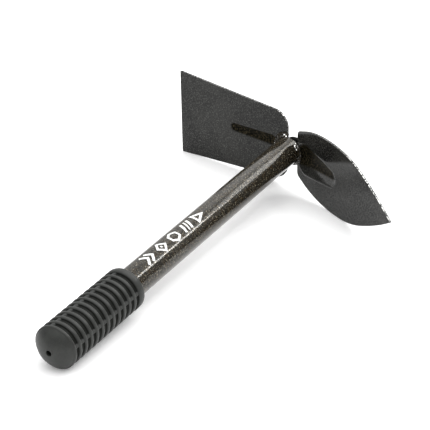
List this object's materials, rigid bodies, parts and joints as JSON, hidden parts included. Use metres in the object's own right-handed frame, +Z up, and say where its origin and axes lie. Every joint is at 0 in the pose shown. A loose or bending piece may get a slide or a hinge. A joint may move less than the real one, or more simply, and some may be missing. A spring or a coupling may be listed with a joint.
{
  "type": "grub hoe",
  "caption": "Short hand hoe: a straight steel tube with a ribbed rubber grip at one end, and a square blade and a pointed blade welded on opposite sides of the other.",
  "frame": {"origin": "centre of the bounding box, on the ground the hoe lies on", "axes": "+X along the handle from the grip to the head, +Y towards the square blade, +Z up from the ground"},
  "size_m": [0.3996, 0.2652, 0.0844],
  "materials": {
    "hammered_paint": "glossy charcoal hammered enamel with a fine light speckle",
    "grip_rubber": "matte black moulded rubber",
    "blade_paint": "semi-gloss dark charcoal enamel, faintly mottled",
    "weld_paint": "dark enamel over a rippled weld bead",
    "print_ink": "thin matte white ink, worn at the edges"
  },
  "bodies": {
    "root": {"handle_tube": "hammered_paint", "rubber_grip": "grip_rubber", "square_blade": "blade_paint", "pointed_blade": "blade_paint", "square_blade_weld": "weld_paint", "pointed_blade_weld": "weld_paint", "neck_weld": "weld_paint"}
  },
  "joints": []
}
